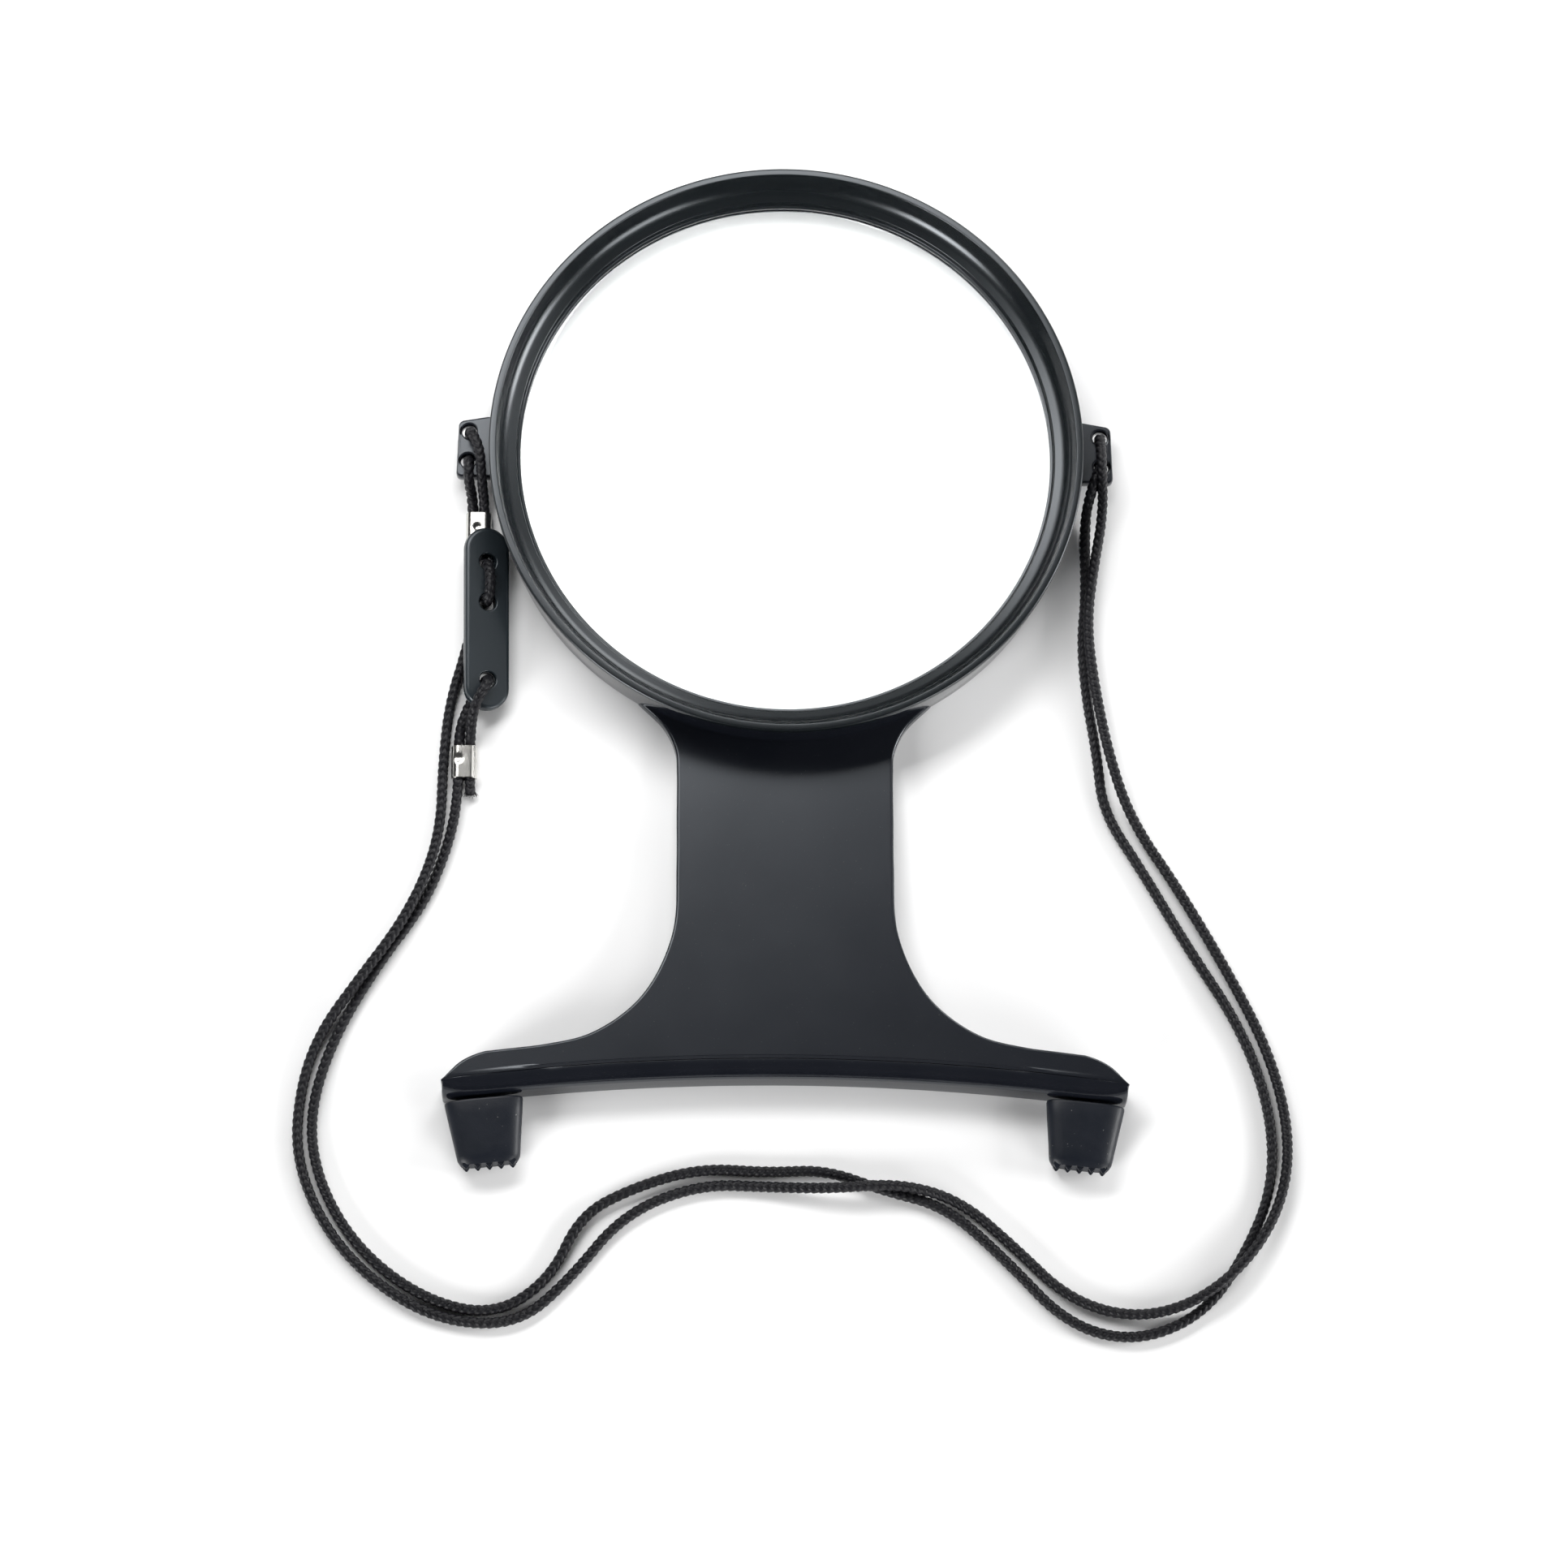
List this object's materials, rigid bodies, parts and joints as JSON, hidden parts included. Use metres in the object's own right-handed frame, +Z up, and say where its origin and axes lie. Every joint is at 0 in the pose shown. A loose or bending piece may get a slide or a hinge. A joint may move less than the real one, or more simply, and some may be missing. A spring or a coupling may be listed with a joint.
{
  "type": "hands-free neck magnifier",
  "caption": "Large round magnifier with a flat stem, a curved chest bar on rubber feet and an adjustable neck cord, lying on its back.",
  "frame": {"origin": "on the table, under the middle of the magnifier measured without its cord", "axes": "+Z up along the lens axis, +X to the right, +Y from the chest feet towards the lens"},
  "size_m": [0.1987, 0.242, 0.014],
  "materials": {
    "frame_plastic": "fine-grained black, glossy edges",
    "bezel_plastic": "satin black",
    "lens": "clear polished acrylic",
    "foot_rubber": "dull black rubber",
    "crimp_metal": "bright nickel plate",
    "slider_plastic": "satin black",
    "cord": "braided black polyester"
  },
  "bodies": {
    "magnifier": {"frame": "frame_plastic", "front_bezel": "bezel_plastic", "lens": "lens", "left_foot": "foot_rubber", "right_foot": "foot_rubber", "upper_crimp": "crimp_metal", "cord_lug_loop": "cord", "cord_main": "cord", "cord_return": "cord"},
    "adjuster": {"adjuster_slider": "slider_plastic", "lower_crimp": "crimp_metal", "cord_adjuster_loop": "cord", "cord_weave": "cord"}
  },
  "joints": [
    {"name": "adjuster_slide", "type": "slide", "parent": "magnifier", "child": "adjuster", "axis": [0, -1, 0], "range_m": [0, 0.02], "deforming": ["cord_return"]}
  ]
}
